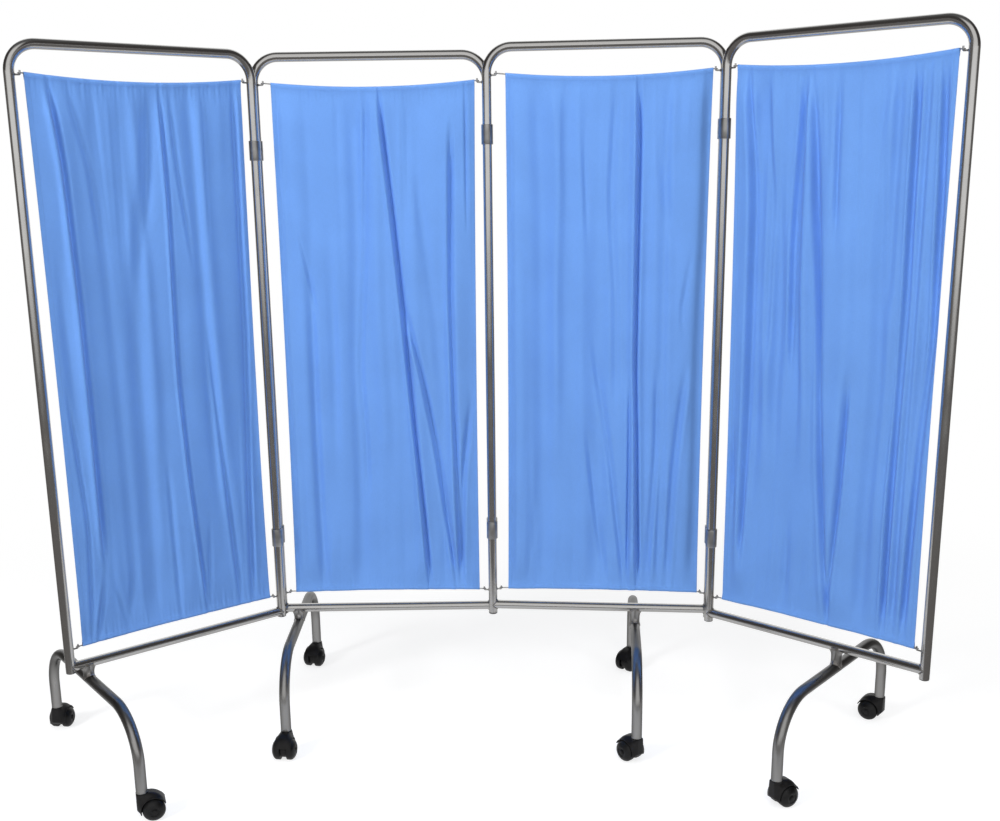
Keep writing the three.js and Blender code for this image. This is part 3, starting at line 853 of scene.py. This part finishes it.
# How strong each leaf's folds are, and its main folds. A fold is its line's points, in thousandths of
# the way down and of the way across, then its depth and half width in millimetres, and its lean: below
# zero its left side stands forward, above zero its right side.
fold_seed, gather_seed = 40, 70
fold_vigor = [1.75, 2.4, 2.6, 4.4]
cloth_folds = [
    [
        ((0, 140, 380, 620, 880), (83, 118, 131, 135, 139), 8, 9, -0.7),
        ((860, 930, 1000), (146, 105, 70), 7, 8, -0.6),
        ((0, 220, 380, 540, 740, 1000), (587, 595, 587, 581, 600, 643), 5.5, 6.5, -0.6),
        ((0, 160, 280), (540, 510, 470), 3.5, 9, -0.4),
        ((0, 140, 340), (630, 645, 700), 3, 8, -0.5),
        ((20, 200, 320, 540, 800, 1000), (535, 470, 410, 375, 375, 384), 5, 24, -0.4),
        ((420, 670, 1000), (750, 777, 830), 5, 9, -0.5),
        ((0, 460, 780, 1000), (965, 965, 930, 915), 6, 9, 0.5),
        ((20, 140, 320), (165, 235, 260), 3, 11, -0.5),
        ((500, 780, 970), (30, 75, 50), 3.5, 7, -0.4),
        ((840, 1000), (305, 245), 3.5, 10, 0.3),
        ((660, 1000), (490, 500), 3, 9, -0.4),
        ((800, 1000), (700, 665), 3, 8, 0.3),
        ((860, 1000), (165, 235), 3, 9, -0.3),
    ],
    [
        ((30, 200, 380, 540, 700, 840, 1000), (520, 564, 606, 638, 670, 700, 725), 9.5, 8, -0.55),
        ((380, 540, 700, 840, 1000), (600, 700, 777, 823, 875), 7, 8.5, -0.5),
        ((0, 300, 540, 660, 840), (457, 426, 383, 400, 404), 3.5, 9, -0.5),
        ((50, 380, 620, 1000), (872, 862, 872, 896), 7, 9, -0.5),
        ((580, 750, 1000), (985, 930, 905), 6, 9, 0.4),
        ((20, 300), (950, 955), 2.5, 5, -0.3),
        ((220, 380, 490), (70, 150, 200), 1.6, 6, -0.6),
        ((120, 450, 620), (680, 780, 800), 2.5, 16, -0.4),
        ((0, 500, 1000), (30, 20, 30), 2.5, 9, 0.4),
        ((740, 1000), (200, 180), 2, 12, 0.3),
    ],
    [
        ((0, 100, 540, 700, 1000), (640, 650, 650, 664, 680), 10.5, 7.5, -0.35),
        ((520, 700, 970), (625, 630, 630), 5, 6, -0.3),
        ((20, 220, 400, 660), (530, 510, 540, 550), 3.5, 13, -0.5),
        ((60, 340), (370, 400), 2.2, 9, -0.5),
        ((460, 740, 1000), (420, 530, 610), 4, 10, -0.5),
        ((640, 880, 1000), (390, 470, 520), 3, 9, -0.5),
        ((520, 700, 1000), (775, 780, 740), 5, 10, 0.5),
        ((520, 740, 1000), (930, 875, 845), 5, 11, 0.5),
        ((100, 380), (730, 860), 2.5, 15, -0.4),
        ((300, 460, 520), (930, 870, 930), 2.2, 9, -0.4),
        ((0, 500, 1000), (30, 25, 30), 2.5, 10, 0.4),
    ],
    [
        ((0, 220, 620, 950), (50, 94, 94, 83), 6, 9, -0.5),
        ((0, 220, 560), (146, 200, 190), 4, 12, 0.4),
        ((0, 300, 560), (330, 300, 310), 5, 9, -0.5),
        ((0, 220, 460, 700, 1000), (360, 406, 458, 490, 565), 5.5, 11, -0.5),
        ((500, 740, 1000), (620, 604, 573), 6, 9, 0.4),
        ((0, 140, 340), (490, 500, 520), 3.5, 9, -0.4),
        ((0, 380, 780, 1000), (833, 844, 833, 833), 8, 7.5, -0.5),
        ((0, 220, 460, 620, 1000), (940, 965, 975, 948, 927), 7, 8, -0.45),
        ((0, 450), (755, 760), 3.5, 13, -0.4),
        ((0, 500, 1000), (890, 895, 885), 3.5, 9, 0.35),
        ((620, 860), (30, 50), 3.5, 9, 0.4),
        ((780, 1000), (330, 320), 3, 13, -0.3),
    ],
]


def woven_cloth():
    """Plain weave with a soft sheen: thread lines, slubs and a slow change of tone."""
    material, add = new_material("blue_cloth")
    flat = add("ShaderNodeUVMap", {}, uv_map="cloth_cut").outputs["UV"]
    spot = add("ShaderNodeSeparateXYZ", {0: flat}).outputs
    thread_pitch = 0.0008
    waves = [
        math_node(add, "SINE", math_node(add, "MULTIPLY", spot[axis], 2 * math.pi / thread_pitch))
        for axis in ("X", "Y")
    ]
    weave = math_node(add, "MULTIPLY", *waves)
    slubs = [noise(add, stretched(add, flat, scale), 1) for scale in ((90, 1400, 1), (1400, 90, 1))]
    slub_sum = math_node(add, "ADD", *slubs)
    slow = noise(add, flat, 7, 3)
    shade = math_node(
        add, "MULTIPLY_ADD", slub_sum, 0.35, math_node(add, "MULTIPLY_ADD", slow, 0.5, -0.1)
    )
    dark, light = [(*[c * share for c in cloth_color], 1) for share in (0.92, 1.06)]
    finished(add, {
        "Sheen Weight": 0.12, "Sheen Roughness": 0.4, "Specular IOR Level": 0.25,
        "Base Color": ramp(add, shade, (0.3, dark), (0.7, light)),
        "Roughness": remapped(add, slow, low=0.78, high=0.92),
        "Normal": bump(add, math_node(add, "MULTIPLY_ADD", slub_sum, 0.8, weave), 0.35, 0.00012),
    })
    return material


blue_cloth = woven_cloth()


def eased(value, low, high):
    share = np.clip((value - low) / (high - low), 0, 1)
    return share * share * (3 - 2 * share)


def forward_field(across, down, width, folds, vigor, seed):
    """How far the cloth stands forward, in millimetres, on a grid of shares across and down."""
    random = np.random.default_rng(seed)
    x = across * width * 1000
    field = np.zeros_like(across)

    def fold(downs, places, depth, half, lean, fade):
        """One fold, with its line smoothed, that fades where it starts or ends inside the cloth."""
        centre = np.interp(down[:, 0], downs, places)
        centre = np.convolve(np.pad(centre, 4, mode="edge"), np.ones(9) / 9, mode="valid")
        t = (x - centre[:, None] * width * 1000) / half
        bell = np.exp(-t * t)
        shape = -(1 - abs(lean)) * bell + lean * 1.9 * t * bell
        start = 1 if downs[0] <= 0.03 else eased(down, downs[0], downs[0] + fade)
        stop = 1 if downs[-1] >= 0.97 else 1 - eased(down, downs[-1] - fade, downs[-1])
        return depth * shape * start * stop

    for downs, places, depth, half, lean in folds:
        downs, places = np.array(downs) / 1000, np.array(places) / 1000
        field += fold(downs, places, depth * (0.75 + 0.68 * vigor), half * 0.88, lean, 0.12)
    # Middling folds that wander down most of the cloth
    middling = 9
    for place in range(middling):
        at = (place + 0.5 + random.uniform(-0.35, 0.35)) / middling
        slant = random.normal(0.02, 0.03)
        first, last = random.uniform(-0.3, 0.25), random.uniform(0.7, 1.3)
        downs = np.linspace(max(first, 0), min(last, 1), 5)
        places = [at + slant * (share - 0.5) + random.normal(0, 0.008) for share in downs]
        depth, half = vigor * random.uniform(2.6, 5.4), random.uniform(11, 22)
        depth *= random.choice((-1, 1))
        field += fold(downs, places, depth, half, random.uniform(-0.6, 0.6), 0.3)
    # Small soft folds that start at the gathers and die out in the cloth
    for place in range(34):
        at = random.uniform(0.02, 0.98)
        reach = random.uniform(0.12, 0.55)
        drift = random.normal(0, 0.03)
        depth, half = (0.4 + 0.28 * vigor) * random.uniform(0.5, 1.9), random.uniform(5, 13)
        lean = random.uniform(-0.6, 0.6)
        downs, places = ((0, reach), (at, at + drift)) if place % 2 else ((1 - reach, 1), (at + drift, at))
        field += fold(downs, places, depth * random.choice((-1, 1, 1)), half, lean, reach * 0.7)
    # Long, slow waves across the cloth
    for waves in (1.3, 2.2, 3.6):
        phase, slant = random.uniform(0, 2 * math.pi), random.normal(0, 0.5)
        field += 3.4 / waves**0.7 * np.sin(2 * math.pi * (waves * across + slant * down * 0.3) + phase)
    return field


def gathers(across, width, seed):
    """Uneven small gathers on the wire, in millimetres."""
    random = np.random.default_rng(seed)
    x = across * width * 1000
    total = np.zeros_like(across)
    for pitch in (9.5, 13.2, 17.9, 26.0):
        wander = random.uniform(0, 2 * math.pi) + 1.2 * np.sin(x / random.uniform(60, 120))
        total += random.uniform(0.15, 0.45) * np.sin(2 * math.pi * x / pitch + wander)
    return total


def make_stitch_tree():
    """Short threads laid end to end along lines."""
    tree, add, given, line = open_tree(
        "stitch_row",
        (("Pitch", "Float"), ("Length", "Float"), ("Thickness", "Float"), ("Material", "Material")),
    )
    spots = add(
        "GeometryNodeCurveToPoints", {"Curve": line, "Length": given["Pitch"]}, mode="LENGTH"
    ).outputs
    thread = add("GeometryNodeMeshUVSphere", {"Segments": 6, "Rings": 4, "Radius": 0.5}).outputs["Mesh"]
    size = add("ShaderNodeCombineXYZ", {
        "X": given["Thickness"], "Y": given["Thickness"], "Z": given["Length"],
    }).outputs["Vector"]
    laid = add("GeometryNodeInstanceOnPoints", {
        "Points": spots["Points"], "Instance": thread, "Rotation": spots["Rotation"], "Scale": size,
    })
    close_tree(add, laid.outputs["Instances"], given["Material"])
    return tree


stitch_tree = make_stitch_tree()
sewing_thread, add = new_material("sewing_thread")
twist = noise(add, object_place(add), 900)
dark, light = [(*[c * share for c in cloth_color], 1) for share in (0.6, 0.95)]
finished(add, {
    "Roughness": 0.6, "Sheen Weight": 0.2, "Base Color": ramp(add, twist, (0, dark), (1, light)),
})
stitch_sizes = {"Pitch": 0.0034, "Length": 0.0027, "Thickness": 0.0005, "Material": sewing_thread}
stitch_out = cloth_thickness / 2 + 0.0001

# Each casing runs up the back of the cloth, round its wire and down the front: how far each row is
# from the wire towards the middle of the cloth, and how far forward of it
casing = [(casing_depth, -0.0012), (casing_depth * 0.6, -0.0017), (casing_radius * 1.2, -casing_radius)]
casing += [
    (-casing_radius * math.sin(a), -casing_radius * math.cos(a))
    for a in np.linspace(0.25, math.pi - 0.25, 5)
]
casing += [(casing_radius * 1.2, casing_radius), (casing_depth * 0.6, 0.0014), (casing_depth, 0.0004)]
cloth_zones = [("top", from_wire, forward) for from_wire, forward in casing]
cloth_zones += [("main", share, 0) for share in np.linspace(0, 1, cloth_rows)[1:-1]]
cloth_zones += [("bottom", from_wire, forward) for from_wire, forward in reversed(casing)]
rows_total, columns_total = len(cloth_zones), cloth_columns + 1
last_top, first_bottom = len(casing) - 1, rows_total - len(casing)
across_shares = np.linspace(0, 1, columns_total)
across = np.tile(across_shares, (rows_total, 1))

for k, crossbar in enumerate(crossbars):
    top_wire = crossbar + frame_height - top_hook_drop + eye_lift
    bottom_wire = crossbar + bottom_hook_rise + eye_lift
    (top_left, top_right), (bottom_left, bottom_right) = cloth_edges[k]
    width = (top_right - top_left + bottom_right - bottom_left) / 2
    cloth_x, cloth_z, out, down = (np.zeros_like(across) for _ in range(4))
    for i, (zone, value, forward) in enumerate(cloth_zones):
        share_down = {"top": 0.0, "bottom": 1.0}.get(zone, value)
        left = top_left + (bottom_left - top_left) * share_down
        right = top_right + (bottom_right - top_right) * share_down
        draw_in = waist_draw * share_down * (1 - share_down)
        x = left + draw_in + (right - left - 2 * draw_in) * across_shares
        high = top_wire - wire_drop(x - leaf_pitch / 2, top_wire_sag)
        low = bottom_wire - wire_drop(x - leaf_pitch / 2, bottom_wire_sag)
        if zone == "top":
            z = high - value
        elif zone == "bottom":
            z = low + value
        else:
            z = (high - casing_depth) + (low + casing_depth - high + casing_depth) * value
        cloth_x[i], cloth_z[i], out[i] = x, z, forward
        down[i] = np.clip((high - z) / (high - low), 0, 1)
    from_end = np.minimum(down, 1 - down)
    field = forward_field(across, down, width, cloth_folds[k], fold_vigor[k], fold_seed + k)
    full = fold_least + (1 - fold_least) * eased(from_end, 0, fold_full_by)
    near_wire = 1 - eased(from_end, 0, gather_gone_by)
    small = gathers(across, width, gather_seed + k)
    small = small * (gather_least + (1 - gather_least) * eased(from_end, 0, gather_full_by))
    field = field * full + small * near_wire * gather_strength
    # The cloth never stands further off than this, so that the leaves fold flat
    most = stand_least + stand_more * eased(from_end, 0, stand_full_by)
    field = most * np.tanh(field / most)
    points = np.stack([cloth_x, -(field / 1000 + out), cloth_z], -1)
    # The cut lies flat, so it is measured along the folds
    step_x = np.linalg.norm(np.diff(points, axis=1), axis=2)
    step_z = np.linalg.norm(np.diff(points, axis=0), axis=2)
    flat_width, flat_length = step_x.sum(1).mean(), step_z.sum(0).mean()
    mesh = bpy.data.meshes.new("curtain")
    index = np.arange(rows_total * columns_total).reshape(rows_total, columns_total)
    quads = np.stack([index[:-1, :-1], index[1:, :-1], index[1:, 1:], index[:-1, 1:]], -1)
    mesh.from_pydata(points.reshape(-1, 3).tolist(), [], quads.reshape(-1, 4).tolist())
    cut = mesh.uv_layers.new(name="cloth_cut")
    along_cut = np.concatenate([[0], step_z.mean(1).cumsum()])
    cut_points = np.stack(np.meshgrid(across_shares * flat_width, -along_cut), -1).reshape(-1, 2)
    loops = np.zeros(len(mesh.loops), int)
    mesh.loops.foreach_get("vertex_index", loops)
    cut.data.foreach_set("uv", cut_points[loops].ravel())
    mesh.polygons.foreach_set("use_smooth", [True] * len(mesh.polygons))
    mesh.materials.append(blue_cloth)
    mesh.transform(leaf_places[k])
    curtain = bpy.data.objects.new(f"leaf_{k + 1}_curtain", mesh)
    scene.collection.objects.link(curtain)
    thicken = curtain.modifiers.new("cloth", "SOLIDIFY")
    thicken.thickness = cloth_thickness
    thicken.offset = 0
    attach(curtain, f"panel_{k + 1}")
    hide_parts(f"panel_{k + 1}_curtain")

    # Rows of stitches: along both casings, front and back, and down both side hems
    rows = []
    for row, sign in ((last_top - 1, 1), (1, -1), (first_bottom + 1, 1), (rows_total - 2, -1)):
        line = points[row].copy()
        line[:, 1] -= sign * stitch_out
        rows.append(line[3:-3])
    main = points[last_top:first_bottom + 1]
    slopes = np.gradient(main, axis=1)
    for share in (side_hem / width, 1 - side_hem / width):
        column = int(round(share * cloth_columns))
        slope = slopes[:, column]
        normal = np.stack([slope[:, 1], -slope[:, 0], np.zeros(len(slope))], -1)
        normal /= np.linalg.norm(normal, axis=1)[:, None]
        rows += [main[:, column] + normal * stitch_out, main[:, column] - normal * stitch_out]
    threads = [through_tree(stitch_tree, rows, stitch_sizes)]
    stitches = leaf_piece(k, "curtain_stitches", threads, sharp=80)

# ---- Casters ----
# Each leg ends in a black twin-wheel caster. A zinc-plated stem is driven into the tube, a moulded
# hood swivels on it, and two hard wheels turn on a steel axle pressed into the hood's middle web.
caster_trail = 0.022
wheel_radius = 0.025
wheel_width = 0.020
web_half = 0.007
web_inner = 0.010
run_gap = 0.0012
axle_radius = 0.003
axle_reach = web_half + run_gap + wheel_width + 0.0003
# How far each leaf's front and back caster is turned from its leaf
caster_turns = [(20, 85), (-95, -105), (128, -130), (28, 142)]
pin_in_hood = 0.016
hood_outer = 0.0292
hood_inner = 0.0268
hood_half_width = 0.020
hood_top = caster_height - 0.002
hood_corner = 0.003
hood_bulge = 0.55
hood_steps = 56
neck_radius = 0.013
hood_rear, hood_front = math.radians(25), math.radians(195)
hood_slices = [0.0062, 0.008, 0.010, 0.012, 0.014, 0.016, 0.018, 0.0192]

black_nylon = moulded_plastic("black_nylon", (0.0045, 0.0042, 0.0044, 1), 0.36, 0.5, 1500, 0.00005)
black_wheel = moulded_plastic("black_wheel", (0.004, 0.004, 0.0042, 1), 0.28, 0.42, 2200, 0.00002)
zinc_steel = bright_steel("zinc_steel", (0.5, 0.5, 0.49, 1), (0.4, 0.4, 0.39, 1), 0.28, 0.42, 0.00003)
to_axle = Matrix.Translation((caster_trail, 0, wheel_radius)) @ Matrix.Rotation(math.pi / 2, 4, "X")


def hood_side_view():
    """The hood's outline seen from the side, about the axle: its rear edge, its top, its front edge."""
    start = Vector((hood_outer * math.cos(hood_rear), hood_outer * math.sin(hood_rear)))
    top = hood_top - wheel_radius
    end = Vector((neck_radius - caster_trail, top))
    bulge = Vector((hood_bulge * hood_outer, top))
    points = [start * (1 - t) ** 2 + bulge * 2 * t * (1 - t) + end * t * t for t in np.linspace(0, 1, 24)]
    corner = Vector((-neck_radius - caster_trail, top))
    for a in np.linspace(0, math.pi / 2, 6):
        step = Vector((hood_corner - hood_corner * math.sin(a), -hood_corner + hood_corner * math.cos(a)))
        points.append(corner + step)
    points.append(Vector((-neck_radius - caster_trail, 0)))
    points.append(Vector((hood_outer * math.cos(hood_front), hood_outer * math.sin(hood_front))))
    return points


def radius_at(outline, angle):
    """How far the outline is from the axle in one direction."""
    ray = Vector((math.cos(angle), math.sin(angle)))
    best = hood_outer
    for a, b in zip(outline, outline[1:]):
        side = b - a
        cross = ray.x * side.y - ray.y * side.x
        if abs(cross) < 1e-12:
            continue
        reach = (a.x * side.y - a.y * side.x) / cross
        along_side = (a.x * ray.y - a.y * ray.x) / cross
        if reach > 0 and -1e-6 <= along_side <= 1 + 1e-6:
            best = max(best, reach)
    return best


def lofted(rings, material):
    """A closed body through rings with equal counts of points."""
    body = bmesh.new()
    loops = [[body.verts.new(point) for point in ring] for ring in rings]
    for lower, upper in zip(loops, loops[1:]):
        for i in range(len(lower)):
            j = (i + 1) % len(lower)
            body.faces.new([lower[i], lower[j], upper[j], upper[i]])
    for loop in (loops[0], loops[-1]):
        half = len(loop) // 2
        for i in range(half - 1):
            body.faces.new([loop[i], loop[i + 1], loop[-i - 2], loop[-i - 1]])
    return closed_mesh(body, material)


def hood_meshes():
    """Two shells over the wheels, rounder to the outside, a web between them, its boss and the neck."""
    outline = hood_side_view()
    angles = np.linspace(hood_rear, hood_front, hood_steps)
    side_radii = np.array([radius_at(outline, a) for a in angles])

    def ring(y, inner, shrink=0.0):
        narrow = eased(abs(y), 0.006, hood_half_width) ** 1.6
        outer_radii = side_radii + (hood_outer - side_radii) * narrow - shrink
        inner_radii = np.full(len(angles), inner + shrink)
        around = list(zip(outer_radii, angles)) + list(zip(inner_radii, angles[::-1]))
        return [(caster_trail + r * math.cos(a), y, wheel_radius + r * math.sin(a)) for r, a in around]

    meshes = []
    for side in (-1, 1):
        rings = [ring(side * y, hood_inner) for y in hood_slices]
        rings.append(ring(side * 0.0198, hood_inner, 0.0003))
        rings.append(ring(side * hood_half_width, hood_inner, 0.0008))
        meshes.append(lofted(rings, black_nylon))
    web = [ring(y, web_inner) for y in np.linspace(-web_half, web_half, 5)]
    meshes.append(lofted(web, black_nylon))
    boss = [
        (0, -web_half), (0.0182, -web_half), (0.019, -web_half + 0.0008),
        (0.019, web_half - 0.0008), (0.0182, web_half), (0, web_half),
    ]
    meshes.append(moved(lathe(boss, black_nylon), to_axle))
    neck = [
        (0, 0.040), (0.0118, 0.040), (0.0127, 0.050), (neck_radius, 0.058),
        (neck_radius, hood_top - 0.0012), (neck_radius - 0.0004, hood_top - 0.0004),
        (neck_radius - 0.0012, hood_top), (0, hood_top),
    ]
    return meshes + [lathe(neck, black_nylon)]


def axle_meshes():
    """The steel axle, with a domed black cap on each end."""
    rod = [(0, -axle_reach), (axle_radius, -axle_reach), (axle_radius, axle_reach), (0, axle_reach)]
    meshes = [moved(lathe(rod, zinc_steel, 24), to_axle)]
    for side in (-1, 1):
        cap = [
            (radius, side * (axle_reach + out))
            for radius, out in (
                (0, 0), (0.0053, 0), (0.0055, 0.0003), (0.0051, 0.0009), (0.0036, 0.0013), (0, 0.0015)
            )
        ]
        meshes.append(moved(lathe(cap, black_nylon, 32), to_axle))
    return meshes


def wheel_mesh(side):
    """Hard wheel: a flat tread, a domed outer face with a ring and a sunk hub."""
    profile = [
        (0.0034, 0), (0.0062, 0), (0.0066, 0.0010), (0.0215, 0.0010), (0.0222, 0), (0.0243, 0),
        (0.0249, 0.0005), (wheel_radius, 0.0012), (wheel_radius, 0.0088), (0.0248, 0.0100),
        (0.0241, 0.0118), (0.0228, 0.0137), (0.0208, 0.0156), (0.0182, 0.0174), (0.0155, 0.0188),
        (0.0132, 0.0197), (0.0120, wheel_width), (0.0112, 0.0199), (0.0108, 0.0190),
        (0.0075, 0.0186), (0.0068, 0.0192), (0.0034, 0.0192),
    ]
    stand = Matrix.Rotation(-side * math.pi / 2, 4, "X")
    place = Matrix.Translation((caster_trail, side * (web_half + run_gap), wheel_radius))
    return moved(lathe(profile, black_wheel, 56), place @ stand)


stem_profile = [
    (0, hood_top - pin_in_hood), (0.005, hood_top - pin_in_hood), (0.005, hood_top + 0.0003),
    (0.0121, hood_top + 0.0003), (leg_radius, hood_top + 0.0006), (leg_radius, caster_height - 0.0003),
    (0.0121, caster_height), (0.0107, caster_height), (0.0107, caster_height + 0.016),
    (0, caster_height + 0.016),
]
for k in range(4):
    for end, across_leaf, turn_degrees in zip(("front", "back"), (-0.5, 0.5), caster_turns[k]):
        stem_place = leg_places[k] @ Vector((0, across_leaf * leg_span, 0))
        place = Matrix.Translation(stem_place) @ Matrix.Rotation(math.radians(turn_degrees), 4, "Z")
        node = f"panel_{k + 1}_{end}_caster"
        body = f"caster_{k + 1}_{end}"
        made_piece(
            f"{node}_zinc_stem", [lathe(stem_profile, zinc_steel)], place, f"panel_{k + 1}",
            [f"{node}_stem"],
        )
        made_piece(
            f"{node}_moulded_hood", hood_meshes() + axle_meshes(), place, body,
            [f"{node}_hood"], sharp=42,
        )
        for side, name in ((1, "left"), (-1, "right")):
            made_piece(
                f"{node}_{name}_hard_wheel", [wheel_mesh(side)], place, f"{body}_{name}_wheel",
                [f"{node}_{name}_wheel"], sharp=40,
            )
